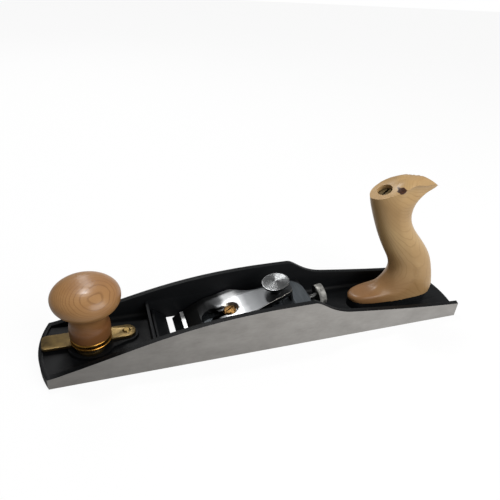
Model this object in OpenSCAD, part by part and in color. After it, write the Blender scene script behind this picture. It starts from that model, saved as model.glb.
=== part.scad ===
// Bevel-up jack plane with an adjustable mouth.
// X runs from the toe to the heel, Y across the sole and Z up from it.
// The origin is on the sole, at the middle of the length and the width.

/* [Body casting] */
// Length of the body, toe to heel
body_length = 354.5; // [340:0.5:376]
// Width over both cheeks
body_width = 62; // [60:0.5:66]
// Thickness of each cheek
cheek_wall = 4.3; // [3.6:0.1:4.8]
// Plan radius of the toe
toe_radius = 74; // [60:1:90]
// Plan radius of the heel
heel_radius = 90; // [70:1:120]
// Height of the rim at the toe
toe_height = 8.6; // [8:0.1:9]
// Thickness of the rim round the toe
toe_rim = 3.2; // [2:0.1:4]
// Height of the cheeks beside the iron
cheek_height = 39.3; // [37:0.1:42]
// Height of the cheeks behind their hump
tail_height = 24.6; // [22:0.1:27]
// Height of the cheeks at the heel
heel_height = 13; // [11:0.1:15]
// Thickness of the floor behind the bed
floor_thickness = 5; // [4:0.1:5.6]
// Radius where a floor meets a cheek
floor_fillet = 3; // [1:0.1:4]

/* [Mouth] */
// Distance from the toe to the cutting edge
edge_from_toe = 102.8; // [100:0.1:108]
// Width of the open mouth along the sole
mouth_gap = 4.9; // [4.4:0.1:5.6]
// Distance from the toe to the knob's axis
knob_from_toe = 37.9; // [37:0.1:42]
// Thickness of the sliding toe plate
plate_thickness = 3.5; // [3:0.1:4]
// Length of the toe plate ahead of the knob's axis
plate_nose = 13; // [11:0.5:16]
// Height of the chip ramp on the toe plate
ramp_height = 10.5; // [8:0.5:12]
// Length of the chip ramp
ramp_length = 12; // [10:0.5:12.6]
// Distance that the toe plate closes the mouth by
mouth_close = 3; // [2:0.1:3.4]
// Distance that the toe plate opens the mouth by
mouth_open = 2; // [1:0.1:2.2]
// Height of the knob platform above the sole
platform_height = 7; // [6.6:0.1:7.6]
// Height of the boss that the mouth lever lies on
boss_height = 9.4; // [9:0.1:10]
// Radius of that boss round the knob
boss_radius = 17.6; // [17:0.1:19]
// Height of the cross rib ahead of the throat
rib_height = 19.3; // [15:0.1:22]
// Thickness of the cross rib
rib_thickness = 2; // [1.6:0.1:2.6]

/* [Mouth lever] */
// Thickness of the lever
lever_thickness = 2.4; // [2:0.1:2.8]
// Half width of the lever's arm
lever_half_width = 6.8; // [6:0.1:7.4]
// Radius of the lever's eye round the stud
lever_eye = 11.6; // [11:0.1:13]
// Distance from the knob's axis back to the pivot
pivot_back = 26.1; // [25:0.2:28]
// Distance of the pivot to the far side of the middle
pivot_side = 4.8; // [3:0.1:6]
// Distance from the pivot to the end of the finger tab
tab_reach = 61.8; // [58:0.2:63]
// Travel of the toe plate for each degree of the lever
travel_per_degree = 0.2; // [0.16:0.01:0.22]
// Diameter of the pivot pin
pivot_pin = 4; // [3:0.1:5]

/* [Front knob] */
// Diameter of the knob's cap
cap_diameter = 49; // [46:0.5:51]
// Height of the knob above its ferrule's foot
knob_height = 52.6; // [50:0.2:56]
// Diameter of the ferrule
ferrule_diameter = 30; // [29:0.1:32]
// Height of the ferrule
ferrule_height = 5.8; // [5:0.1:6.4]
// Wall of the ferrule
ferrule_wall = 1; // [0.8:0.1:1.4]
// Thickness of the washer on the lever
washer_thickness = 1.6; // [1:0.1:2]
// Diameter of the knob's stud
stud_diameter = 8; // [7:0.1:8.6]
// Diameter of the threaded boss on the toe plate
plate_boss = 12.4; // [12:0.1:13]
// Diameter of the brass insert in the knob
insert_diameter = 13; // [12:0.1:15]
// Height of the brass insert
insert_height = 14; // [10:0.5:18]

/* [Bed and iron] */
// Angle of the bed
bed_angle = 12; // [11:0.5:13]
// Bevel angle of the iron
bevel_angle = 25; // [23:1:28]
// Thickness of the iron
iron_thickness = 3.3; // [3:0.1:3.6]
// Width of the iron
iron_width = 49.4; // [48:0.1:50]
// Length of the iron, edge to rear end
iron_length = 113; // [111:0.5:115]
// Radius of the iron's rear corners
iron_corner = 19; // [12:0.5:22]
// Width of the long slot in the iron
iron_slot = 12; // [11.6:0.1:13]
// Start of the iron's slot from the edge
slot_start = 29; // [27:0.5:31]
// End of the iron's slot from the edge
slot_end = 82; // [78:0.5:83]
// Distance from the cutting edge to the bed's front lip
bed_lip = 5; // [4:0.1:6]
// Length of the bed from the cutting edge
bed_length = 113.6; // [112:0.2:116]

/* [Depth adjuster] */
// Depth of the adjuster's axis below the bed
rod_drop = 3.6; // [3.4:0.1:4]
// Diameter of the threaded rod
rod_diameter = 5; // [4.4:0.1:5.6]
// Diameter of the collar that moves the iron
collar_diameter = 10; // [9.4:0.1:10.8]
// Thickness of the collar
collar_thickness = 2; // [1.6:0.1:2.6]
// Distance from the cutting edge to the collar
collar_place = 90; // [88:0.5:91]
// Length of the rod's thread in the bed
thread_length = 10; // [8:0.5:10.6]
// Diameter of the knurled wheel
wheel_diameter = 17.6; // [16:0.2:19]
// Width of the knurled wheel
wheel_width = 6; // [5:0.1:7]
// Gap between the iron's rear end and the wheel
wheel_gap = 8.6; // [8:0.1:9.6]
// Number of flutes round each knurled rim
knurl_count = 48; // [40:1:60]

/* [Lever cap] */
// Distance from the cutting edge to the cap's front edge
cap_front = 10.3; // [9:0.1:12]
// Width of the lever cap across its shoulders
cap_width = 49; // [47:0.1:49.6]
// Height of the cap's crest above the bed
cap_crest = 12.6; // [12:0.1:13.4]
// Distance from the cutting edge to the crest
crest_place = 50; // [49:0.5:53]
// Length of the cap, front edge to rear end
cap_length = 90; // [88:0.5:93]
// Half width of the cap's tongue at the clamp screw
tongue_half_width = 8.8; // [8:0.1:10]
// Rise of the tongue from the crest to its rear end
tongue_rise = 2.5; // [1.6:0.1:3.4]
// Fall of the cap's crowned top at its sides, at the crest
cap_crown = 1.2; // [0.6:0.1:1.6]
// Thickness of the cap
cap_thickness = 3.6; // [3.2:0.1:4]
// Distance from the cutting edge to the cap screw
screw_place = 46; // [45:0.2:47]
// Diameter of the cap screw's head
screw_head = 11; // [10:0.1:11.4]
// Diameter of the cap screw's shank
screw_shank = 6; // [5.4:0.1:6.6]
// Diameter of the large end of the keyhole
keyhole_diameter = 16.4; // [15:0.1:17]
// Distance from the screw to the keyhole's large end
keyhole_offset = 16; // [15:0.2:17]
// Diameter of the dished seat round the screw
seat_diameter = 15; // [14:0.1:15.6]

/* [Clamp screw] */
// Diameter of the clamp screw's disc
disc_diameter = 22.2; // [20:0.2:24]
// Thickness of the disc's rim
disc_rim = 1.4; // [1.2:0.1:2]
// Height of the disc's rim above the bed
disc_height = 23.2; // [22:0.2:25]
// Distance from the cutting edge to the clamp screw
clamp_place = 87.4; // [86:0.2:88.4]
// Diameter of the clamp screw's thread
clamp_thread = 8; // [7:0.1:9]

/* [Tote] */
// Distance from the heel to the tote's rear foot
tote_from_heel = 16; // [14:0.5:18]
// Height of the seat that the tote stands on
seat_height = 12; // [11:0.1:13]
// Half width of that seat
seat_half_width = 9.5; // [8.5:0.1:11]
// Height of the tote above its seat
tote_height = 117.2; // [110:0.2:120]
// Half width of the tote at its foot
tote_half_width = 13; // [12:0.1:14]
// Lean of the tote's rod from upright
rod_lean = 25; // [23:0.5:27]
// Distance from the tote's rear foot to the rod, at the seat
rod_from_rear = 22.6; // [20:0.2:23]
// Distance along the rod from the seat to the tote's flat
flat_along_rod = 115.6; // [114:0.1:119]
// Diameter of the tote rod
tote_rod_diameter = 6; // [5:0.1:6.4]
// Diameter of the nut's counterbore
nut_bore = 10.6; // [10:0.1:12]
// Depth of the nut's counterbore
nut_depth = 6.6; // [6:0.1:7.4]
// Depth of the nut's top below the tote's flat
nut_sink = 2.5; // [1.6:0.1:3]

/* [Clearances] */
// Sliding clearance of flat faces
slide_gap = 0.15; // [0.1:0.01:0.2]
// Radial clearance of a turning or threaded fit
turn_gap = 0.05; // [0.03:0.01:0.08]
// Clearance of a round piece that moves past another
pass_gap = 0.4; // [0.35:0.05:0.5]

/* [Hidden] */
$fn = 48;
eps = 0.01;

// Places along the body
toe_x = -body_length / 2;
heel_x = body_length / 2;
edge_x = toe_x + edge_from_toe;
knob_x = toe_x + knob_from_toe;
half_width = body_width / 2;
inner_half = half_width - cheek_wall;
plate_rear_x = edge_x - mouth_gap;
plate_front_x = knob_x - plate_nose;
ramp_front_x = plate_rear_x - ramp_length;
rib_rear_x = ramp_front_x - mouth_open - pass_gap;
rib_front_x = rib_rear_x - rib_thickness;
bed_lip_x = edge_x + bed_lip;
bed_end_x = edge_x + bed_length * cos(bed_angle);
bed_end_z = bed_length * sin(bed_angle);
pocket_height = plate_thickness + slide_gap;
plate_half = inner_half - slide_gap;

// The iron and its cap keep their share of the width between the cheeks
usual_inner_width = 53.4;
width_share = 2*inner_half / usual_inner_width;
iron_half = width_share*iron_width / 2;
cap_half = width_share*cap_width / 2;

// Points on a cubic curve, and on curves joined end to end
steps = 14;
function cubic(a, b, c, d, n = steps) =
    [for (i = [0:n]) let (t = i / n, s = 1 - t) s*s*s*a + 3*s*s*t*b + 3*s*t*t*c + t*t*t*d];
// Smooth run through points, a few steps to each span
function through(p, n) = [for (i = [0:len(p) - 2], k = [0:n - 1])
    let (a = p[max(i - 1, 0)], b = p[i], c = p[i + 1], d = p[min(i + 2, len(p) - 1)], t = k / n)
    ((2*b) + (c - a)*t + (2*a - 5*b + 4*c - d)*t*t + (3*b - a - 3*c + d)*t*t*t) / 2];
function turned(v, angle) = [v.x*cos(angle) - v.y*sin(angle), v.x*sin(angle) + v.y*cos(angle)];

// Work in the bed's frame: X up the bed from the cutting edge, Z square to the bed
module on_bed() {
    translate([edge_x, 0, 0]) rotate([0, -bed_angle, 0]) children();
}
// Extrude a side view drawn in X and Z across the middle
module across(half) {
    rotate([90, 0, 0]) linear_extrude(2*half, center = true) children();
}
// Round rod along X
module rod_x(diameter, from, to) {
    translate([from, 0, 0]) rotate([0, 90, 0]) cylinder(d = diameter, h = to - from);
}
// Flat bar with round ends between two points of a plan
module link(a, b, radius, height) {
    span = b - a;
    translate([a.x, a.y, 0]) rotate(atan2(span.y, span.x)) {
        cylinder(r = radius, h = height);
        translate([0, -radius, 0]) cube([norm(span), 2*radius, height]);
        translate([norm(span), 0, 0]) cylinder(r = radius, h = height);
    }
}
// Disc with a fluted rim, standing on Z
module knurled(diameter, width) {
    flute = PI*diameter / knurl_count / 4;
    difference() {
        cylinder(d = diameter, h = width);
        for (i = [0:knurl_count - 1])
            rotate(360*i / knurl_count) translate([diameter/2 + flute*0.35, 0, -eps])
                cylinder(r = flute, h = width + 2*eps, $fn = 6);
    }
}

// Body casting
toe_flat = 10;
sweep_front = 19;
sweep_rise = 2.7;
hump_front = 88.7;
hump_flat = 14;
drop_length = 35;
function cheek_line() = let (
    toe = [toe_x, toe_height], sweep = toe + [sweep_front, sweep_rise],
    start = [edge_x + hump_front, cheek_height],
    end = start + [hump_flat, 0], foot = [end.x + drop_length, tail_height], heel = [heel_x, heel_height],
    climb = start.x - sweep.x, run = heel.x - foot.x)
    concat(
        cubic(toe, toe + [toe_flat, 0], sweep - [sweep_front/4, sweep_rise/2.4], sweep),
        cubic(sweep, sweep + [climb*0.32, (cheek_height - sweep.y)*0.46], start - [climb*0.49, 0], start),
        cubic(end, end + [drop_length/5, 0], foot + [-0.57, 0.074]*drop_length, foot),
        cubic(foot, foot + [0.32, -0.042]*run, heel + [-0.34, 0.02]*run, heel));

heel_corner = 30;
module plan_blank(height) {
    corner = toe_radius;
    difference() {
        translate([toe_x, -half_width, 0]) cube([body_length, body_width, height]);
        difference() {
            translate([toe_x - 1, -half_width - 1, -1]) cube([corner + 1, body_width + 2, height + 2]);
            translate([toe_x + toe_radius, 0, -2]) cylinder(r = toe_radius, h = height + 4, $fn = 96);
            translate([toe_x + corner/2, -half_width - 2, -2]) cube([corner, body_width + 4, height + 4]);
        }
        difference() {
            translate([heel_x - heel_corner, -half_width - 1, -1])
                cube([heel_corner + 1, body_width + 2, height + 2]);
            translate([heel_x - heel_radius, 0, -2]) cylinder(r = heel_radius, h = height + 4, $fn = 96);
        }
    }
}

module cheeks() {
    difference() {
        intersection() {
            plan_blank(cheek_height + 1);
            across(half_width + 1) polygon(concat([[heel_x + 1, -1], [toe_x - 1, -1], [toe_x - 1, toe_height]],
                cheek_line(), [[heel_x + 1, heel_height]]));
        }
        translate([toe_x + toe_radius, -inner_half, -1])
            cube([body_length, 2*inner_half, cheek_height + 3]);
        intersection() {
            translate([toe_x + toe_radius, 0, -1])
                cylinder(r = toe_radius - toe_rim, h = cheek_height + 3, $fn = 96);
            translate([toe_x, -inner_half, -1]) cube([toe_radius + 1, 2*inner_half, cheek_height + 3]);
        }
    }
}

// Side view of the floors: knob platform, rib, bed and rear floor
bed_back_run = 3.5;
bed_back_drop = 5;
bed_foot_run = 6;
module floors() {
    intersection() {
        plan_blank(cheek_height);
        union() {
            across(inner_half + eps) polygon([[toe_x, 0], [rib_rear_x, 0], [rib_rear_x, rib_height],
                [rib_front_x, rib_height], [rib_front_x, platform_height], [toe_x, platform_height]]);
            across(inner_half + eps) polygon([[bed_lip_x, 0], [bed_lip_x, bed_lip*tan(bed_angle)],
                [bed_end_x, bed_end_z], [bed_end_x + bed_back_run, bed_end_z - bed_back_drop],
                [bed_end_x + bed_foot_run, floor_thickness],
                [heel_x, floor_thickness], [heel_x, 0]]);
        }
    }
}

// Cove along a cheek's foot, between two places
module cove(from, to, height) {
    for (side = [-1, 1]) scale([1, side, 1])
        translate([from, inner_half - floor_fillet, height - eps]) difference() {
            cube([to - from, floor_fillet + eps, floor_fillet]);
            translate([-1, 0, floor_fillet]) rotate([0, 90, 0]) cylinder(r = floor_fillet, h = to - from + 2);
        }
}

// Raised boss under the mouth lever, round the knob and out to the pivot
pivot = [knob_x + pivot_back, pivot_side];
lever_top = boss_height + lever_thickness;
lobe_radius = lever_half_width + 2.2;
web_front = 5;
web_near = 13;
web_far = 16;
module lever_boss() {
    translate([0, 0, platform_height - eps]) {
        height = boss_height - platform_height + eps;
        translate([knob_x, 0, 0]) cylinder(r = boss_radius, h = height, $fn = 96);
        translate([pivot.x, pivot.y, 0]) cylinder(r = lobe_radius, h = height);
        linear_extrude(height) polygon([[knob_x + web_front, -web_near], [pivot.x, pivot.y - lobe_radius],
            [pivot.x, pivot.y + lobe_radius], [knob_x + web_front, web_far]]);
    }
}

// The tote's side outline is drawn at this length and height for a usual body, then fitted to this one
drawn_length = 84;
drawn_height = 117.2;
usual_body_length = 354.5;
length_share = body_length / usual_body_length;
tote_rear_x = heel_x - tote_from_heel*length_share;
tote_length = drawn_length*length_share;
tote_front_x = tote_rear_x - tote_length;

// Seat that the tote stands on, with round ends
module tote_seat() {
    translate([0, 0, floor_thickness - eps])
        link([tote_front_x + seat_half_width + 1, 0], [tote_rear_x - seat_half_width - 3, 0],
            seat_half_width, seat_height - floor_thickness + eps);
}

// Rod's line through the tote: from the seat, leaning forward
tote_rod_x = tote_rear_x - rod_from_rear*length_share;
module on_tote_rod() {
    translate([tote_rod_x, 0, seat_height]) rotate([0, -atan(tan(rod_lean)*length_share), 0]) children();
}

rod_reach = 6;
cove_lead = 5;
cove_tail = 8;
hole_depth = 7;
module plane_body() {
    color("dimgray") difference() {
        union() {
            cheeks();
            floors();
            lever_boss();
            tote_seat();
            cove(toe_x + toe_radius*0.45, rib_front_x, platform_height);
            cove(bed_end_x + cove_lead, heel_x - cove_tail, floor_thickness);
        }
        // Pocket that the toe plate slides in
        translate([plate_front_x - mouth_open - slide_gap, -inner_half, -1])
            cube([rib_rear_x + 1 - plate_front_x + mouth_open, 2*inner_half, pocket_height + 1]);
        // Slot for the toe plate's boss
        translate([0, 0, -1]) link([knob_x - mouth_open, 0], [knob_x + mouth_close, 0],
            plate_boss/2 + pass_gap, boss_height + 2);
        translate([pivot.x, pivot.y, pocket_height]) cylinder(d = pivot_pin, h = boss_height);
        on_bed() {
            // Tapped hole of the cap screw, blind
            translate([screw_place, 0, -hole_depth])
                cylinder(d = screw_shank + 2*turn_gap, h = hole_depth + 1);
            // Channel that the rod and its collar run in
            translate([collar_place - channel_lead, -channel_width/2, -rod_drop - channel_width/2])
                cube([thread_from - collar_place + channel_lead, channel_width, channel_width]);
            translate([0, 0, -rod_drop])
                rod_x(rod_diameter + 2*turn_gap, thread_from - 1, bed_length + bed_pocket);
            // Cored pockets that lighten the bed
            for (side = [-1, 1]) scale([1, side, 1]) translate([pocket_from, pocket_side, -bed_pocket])
                cube([pocket_length, inner_half - pocket_side - pocket_wall, bed_pocket + 1]);
        }
        // Tapped hole of the tote rod
        on_tote_rod() translate([0, 0, -rod_reach]) cylinder(d = tote_rod_diameter, h = 2*rod_reach);
    }
}
bed_pocket = 8;
pocket_from = 60;
pocket_length = 38;
pocket_side = 7.5;
pocket_wall = 3.5;
channel_lead = 9;
channel_width = collar_diameter + 2;
thread_from = bed_length - thread_length;

module lever_pivot_pin() {
    head = 1;
    head_diameter = pivot_pin + 2.4;
    color("gold") translate([pivot.x, pivot.y, 0]) {
        translate([0, 0, pocket_height]) cylinder(d = pivot_pin, h = lever_top - pocket_height);
        translate([0, 0, lever_top - eps]) cylinder(d = pivot_pin, h = 2*turn_gap);
        translate([0, 0, lever_top + turn_gap]) cylinder(d1 = head_diameter, d2 = pivot_pin, h = head);
    }
}

// Sliding toe plate with its chip ramp and the boss for the stud
module toe_plate() {
    color("gainsboro") difference() {
        union() {
            translate([plate_front_x, -plate_half, 0])
                cube([ramp_front_x + eps - plate_front_x, 2*plate_half, plate_thickness]);
            across(plate_half) polygon(concat([[ramp_front_x, 0]],
                [[plate_rear_x, 0]],
                cubic([plate_rear_x, 0.8], [plate_rear_x - 4, 4.6], [ramp_front_x + 5, ramp_height - 3.5],
                    [ramp_front_x + 1.4, ramp_height]), [[ramp_front_x, ramp_height]]));
            translate([knob_x, 0, plate_thickness - eps])
                cylinder(d = plate_boss, h = lever_top - plate_thickness - slide_gap);
        }
        translate([knob_x, 0, -1]) cylinder(d = stud_diameter + 2*turn_gap, h = lever_top + 2);
    }
}

// Front knob, turned: half outline from the ferrule's foot to the crown
knob_foot = lever_top + washer_thickness;
neck_inset = 1.4;
ferrule_floor = 0.6;
function knob_outline() = let (
    r = ferrule_diameter/2, c = cap_diameter/2, h = knob_height, neck = r - neck_inset,
    socket = r - ferrule_wall,
    drum = [r, h*0.25], waist = [neck, h*0.37], swell = [c*0.75, h*0.57], brim = [c, h*0.76])
    concat(
        [[0, ferrule_floor], [socket, ferrule_floor], [socket, ferrule_height], [r, ferrule_height]],
        cubic([r, ferrule_height], [r + 0.2, h*0.15], [r + 0.2, h*0.2], drum, 8),
        cubic(drum, drum + [-0.1, h*0.045], waist - [0, h*0.06], waist, 8),
        cubic(waist, waist + [0, h*0.115], swell - [3.2, 2.2], swell, 12),
        cubic(swell, swell + [3.2, 2.2], brim - [0, h*0.1], brim, 12),
        cubic(brim, brim + [0, h*0.11], [c*0.65, h], [0, h], 16));
module front_knob() {
    color("burlywood") translate([knob_x, 0, knob_foot]) difference() {
        rotate_extrude($fn = 96) polygon(knob_outline());
        translate([0, 0, -1]) cylinder(d = insert_diameter, h = insert_height + 1);
        translate([0, 0, -1]) cylinder(d = stud_diameter + 1, h = insert_height + 9);
    }
}
module knob_ferrule() {
    color("gold") translate([knob_x, 0, knob_foot]) difference() {
        cylinder(d = ferrule_diameter, h = ferrule_height, $fn = 96);
        translate([0, 0, ferrule_floor])
            cylinder(d = ferrule_diameter - 2*ferrule_wall, h = ferrule_height, $fn = 96);
        translate([0, 0, -1]) cylinder(d = insert_diameter, h = ferrule_height);
    }
}
module knob_insert() {
    color("darkgoldenrod") translate([knob_x, 0, knob_foot]) difference() {
        cylinder(d = insert_diameter, h = insert_height);
        translate([0, 0, -1]) cylinder(d = stud_diameter, h = insert_height + 2);
    }
}
module knob_stud() {
    color("silver") translate([knob_x, 0, 0.6]) cylinder(d = stud_diameter, h = knob_foot + insert_height + 4);
}
module knob_washer() {
    color("silver") translate([knob_x, 0, lever_top]) difference() {
        cylinder(d = ferrule_diameter - 3, h = washer_thickness, $fn = 96);
        translate([0, 0, -1]) cylinder(d = stud_diameter + 2*turn_gap, h = washer_thickness + 2);
    }
}

// Mouth lever: its slot follows the stud's boss while the lever turns on its pivot
swing_close = mouth_close / travel_per_degree;
swing_open = mouth_open / travel_per_degree;
function boss_in_lever(angle) = pivot + turned([knob_x + travel_per_degree*angle, 0] - pivot, -angle);
slot_steps = 12;
slot_path = [for (i = [0:slot_steps]) boss_in_lever(-swing_open + i*(swing_open + swing_close) / slot_steps)];
module lever_slot(height) {
    radius = plate_boss/2 + pass_gap;
    side = [for (i = [0:slot_steps]) let (a = slot_path[max(i - 1, 0)], b = slot_path[min(i + 1, slot_steps)],
        d = (b - a) / norm(b - a)) [-d.y, d.x]*radius];
    linear_extrude(height) polygon(concat([for (i = [0:slot_steps]) slot_path[i] + side[i]],
        [for (i = [slot_steps:-1:0]) slot_path[i] - side[i]]));
    for (i = [0, slot_steps]) translate([slot_path[i].x, slot_path[i].y, 0]) cylinder(r = radius, h = height);
}
// Finger tab: from its square end with eased corners back to the knob
module lever_tab() {
    translate([pivot.x - tab_reach, pivot.y, 0]) {
        translate([tab_corner, -tab_half, 0])
            cube([knob_x - pivot.x + tab_reach - tab_corner, 2*tab_half, lever_thickness]);
        translate([0, tab_corner - tab_half, 0])
            cube([2*tab_corner, 2*(tab_half - tab_corner), lever_thickness]);
        for (side = [-1, 1]) translate([tab_corner, side*(tab_half - tab_corner), 0])
            cylinder(r = tab_corner, h = lever_thickness);
    }
}
module mouth_lever() {
    color("goldenrod") difference() {
        translate([0, 0, boss_height]) {
            link([knob_x, pivot.y], pivot, lever_half_width, lever_thickness);
            lever_tab();
            for (i = [0, slot_steps/2, slot_steps]) translate([slot_path[i].x, slot_path[i].y, 0])
                cylinder(r = lever_eye - 1, h = lever_thickness);
        }
        translate([0, 0, boss_height - 1]) lever_slot(lever_thickness + 2);
        translate([pivot.x, pivot.y, boss_height - 1])
            cylinder(d = pivot_pin + 2*turn_gap, h = lever_thickness + 2);
    }
}
tab_half = 7.6;
tab_corner = 4;

// Iron: bevel up, with a long slot and a cross groove for the collar
module iron() {
    bevel = iron_thickness / tan(bevel_angle);
    half = iron_half;
    groove = collar_thickness + 2*slide_gap;
    color("lightslategray") on_bed() difference() {
        intersection() {
            across(half) polygon([[0, 0], [iron_length, 0], [iron_length, iron_thickness],
                [bevel, iron_thickness]]);
            union() {
                translate([-1, -half, -1]) cube([iron_length - iron_corner + 1, 2*half, iron_thickness + 2]);
                translate([0, iron_corner - half, -1])
                    cube([iron_length + 1, 2*(half - iron_corner), iron_thickness + 2]);
                for (side = [-1, 1]) translate([iron_length - iron_corner, side*(half - iron_corner), -1])
                    cylinder(r = iron_corner, h = iron_thickness + 2, $fn = 96);
            }
        }
        translate([0, 0, -1])
            link([slot_start + iron_slot/2, 0], [slot_end - iron_slot/2, 0], iron_slot/2, iron_thickness + 2);
        translate([collar_place - slide_gap, -half - 1, -1])
            cube([groove, 2*half + 2, 1 + collar_diameter/2 - rod_drop + slide_gap]);
    }
}

// Depth adjuster: rod, collar in the iron's groove, and knurled wheel on the rod
wheel_from = iron_length + wheel_gap;
module adjuster_rod() {
    color("silver") on_bed() translate([0, 0, -rod_drop])
        rod_x(rod_diameter, collar_place - 2, wheel_from + wheel_width);
}
module adjuster_collar() {
    color("silver") on_bed() translate([0, 0, -rod_drop]) difference() {
        rod_x(collar_diameter, collar_place, collar_place + collar_thickness);
        rod_x(rod_diameter, collar_place - 1, collar_place + collar_thickness + 1);
    }
}
module adjuster_wheel() {
    color("lightgray") on_bed() translate([wheel_from, 0, -rod_drop]) difference() {
        rotate([0, 90, 0]) knurled(wheel_diameter, wheel_width);
        rod_x(rod_diameter, -1, wheel_width + 1);
    }
}

// Lever cap: side view of its top, from the front edge over the crest to the rear end
seat_floor = cap_crest - 3.1;
cap_end = cap_front + cap_length;
tongue_height = cap_crest + tongue_rise;
lip_thickness = 3;
lip_foot = iron_thickness + 1.2;
lip_edge = iron_thickness + 0.7;
front_swell = 14;
front_climb = 5.9;
tail_swell = 22;
tail_sag = 0.6;
tail_bend = [cap_end - tail_swell, tongue_height - tail_sag];
function cap_top() = concat(
    cubic([cap_front, lip_edge], [cap_front + front_swell, lip_edge + front_climb],
        [crest_place - front_swell - 1, cap_crest], [crest_place, cap_crest]),
    cubic([crest_place, cap_crest], [crest_place + front_swell, cap_crest], tail_bend,
        [cap_end, tongue_height]));
under_crest = cap_crest - cap_thickness;
function cap_under() = concat(
    [[cap_end, lip_foot], [cap_end - lip_thickness, lip_foot],
        [cap_end - lip_thickness, tongue_height - cap_thickness]],
    cubic([cap_end - lip_thickness, tongue_height - cap_thickness], tail_bend - [0, cap_thickness],
        [crest_place + front_swell, under_crest], [crest_place, under_crest]),
    cubic([crest_place, under_crest], [crest_place - front_swell + 1, under_crest],
        [cap_front + front_swell, iron_thickness + 3.2], [cap_front + 6, iron_thickness + slide_gap]),
    [[cap_front + 5, iron_thickness], [cap_front, iron_thickness]]);
// Plan of the cap: wide front, hollow shoulders, tapering tongue with a round end
function cap_side() = let (root = tongue_half_width*1.2, tail = tongue_half_width*0.82) concat(
    [[cap_front, cap_half]],
    cubic([crest_place, cap_half], [crest_place + 6.5, cap_half], [crest_place + 10, root + 2],
        [crest_place + 27, root]),
    cubic([cap_end - 5.5, tail], [cap_end - 2, tail*0.9], [cap_end, tail*0.5], [cap_end, 0], 8));
module lever_cap() {
    keyhole = screw_place - keyhole_offset;
    crown_radius = (cap_half*cap_half + cap_crown*cap_crown) / (2*cap_crown);
    crown_tilt = atan((tongue_height + 0.2 - cap_crest) / (cap_end - crest_place));
    color("lightgray") on_bed() difference() {
        intersection() {
            across(cap_half + 1) polygon(concat(cap_top(), cap_under()));
            translate([crest_place, 0, cap_crest]) rotate([0, -crown_tilt, 0]) translate([0, 0, -crown_radius])
                rod_x(2*crown_radius, -cap_end, cap_end, $fn = 360);
            linear_extrude(cap_crest + 6) polygon(concat(cap_side(),
                [for (i = [len(cap_side()) - 2:-1:0]) [cap_side()[i].x, -cap_side()[i].y]]));
        }
        translate([keyhole, 0, 0]) cylinder(d = keyhole_diameter, h = 2*cap_crest);
        link([keyhole, 0], [screw_place, 0], screw_shank/2 + pass_gap, 2*cap_crest);
        translate([screw_place, 0, seat_floor])
            cylinder(d1 = screw_head + 2*pass_gap, d2 = seat_diameter + 1.6, h = 4);
        translate([0, 0, seat_floor]) link([keyhole, 0], [screw_place, 0], screw_head/2 + pass_gap, cap_crest);
        translate([clamp_place, 0, 0]) cylinder(d = clamp_thread + 2*turn_gap, h = 2*cap_crest);
    }
}
module lever_cap_screw() {
    head_top = seat_floor + 2.2;
    color("gold") on_bed() translate([screw_place, 0, 0]) difference() {
        union() {
            translate([0, 0, -6]) cylinder(d = screw_shank, h = seat_floor + 7);
            translate([0, 0, seat_floor + slide_gap]) cylinder(d1 = screw_head - 1.6, d2 = screw_head, h = 1);
            translate([0, 0, seat_floor + slide_gap + 1 - eps])
                cylinder(d1 = screw_head, d2 = screw_head - 2.4, h = 1.2);
        }
        rotate(28) translate([-screw_head, -0.7, head_top - 0.6]) cube([2*screw_head, 1.4, 4]);
    }
}

// Clamp screw: fluted disc with a coned face, tapered neck, thread and foot
module clamp_screw() {
    neck_top = disc_height;
    neck_foot = tongue_height + 1.2;
    neck_diameter = disc_diameter - 3.4;
    cone = 0.9;
    color("lightgray") on_bed() translate([clamp_place, 0, 0]) {
        translate([0, 0, iron_thickness + slide_gap])
            cylinder(d = clamp_thread, h = neck_foot - iron_thickness);
        translate([0, 0, neck_foot])
            cylinder(d1 = clamp_thread + 3, d2 = neck_diameter, h = neck_top - neck_foot + eps);
        translate([0, 0, neck_top]) knurled(disc_diameter, disc_rim);
        translate([0, 0, neck_top + disc_rim - eps])
            cylinder(d1 = disc_diameter - 1.2, d2 = 1, h = cone, $fn = 96);
    }
}

// Tote: a loft whose rings span its front and rear outlines, cut flat round the nut
tote_sides = 24;
function tote_front() = [[1, 0], [0.2, 3], [3, 5.6], [12, 7], [21, 9], [28.5, 14], [33.3, 21.5], [35.2, 29.5],
    [32.4, 38], [25.8, 47.7], [19.2, 58.4], [13.9, 68.6], [9.3, 78.4], [5.2, 87.9], [2.2, 96.9], [1.4, 100.5],
    [2, 104], [5, 107.5], [11, 111.5], [20, 114.6]];
function tote_back() = [[82.5, 0], [83.4, 3.5], [83.6, 7], [83.1, 10.5], [82, 14.5], [80.4, 20], [78.4, 25.5],
    [76, 32], [72.6, 39], [67.3, 46.5], [60, 55], [51, 64.5], [44.8, 73], [42, 81], [42.5, 90], [46, 98],
    [52, 103.5], [60, 106.8], [55, 110.3], [42, 114.2]];
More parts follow.
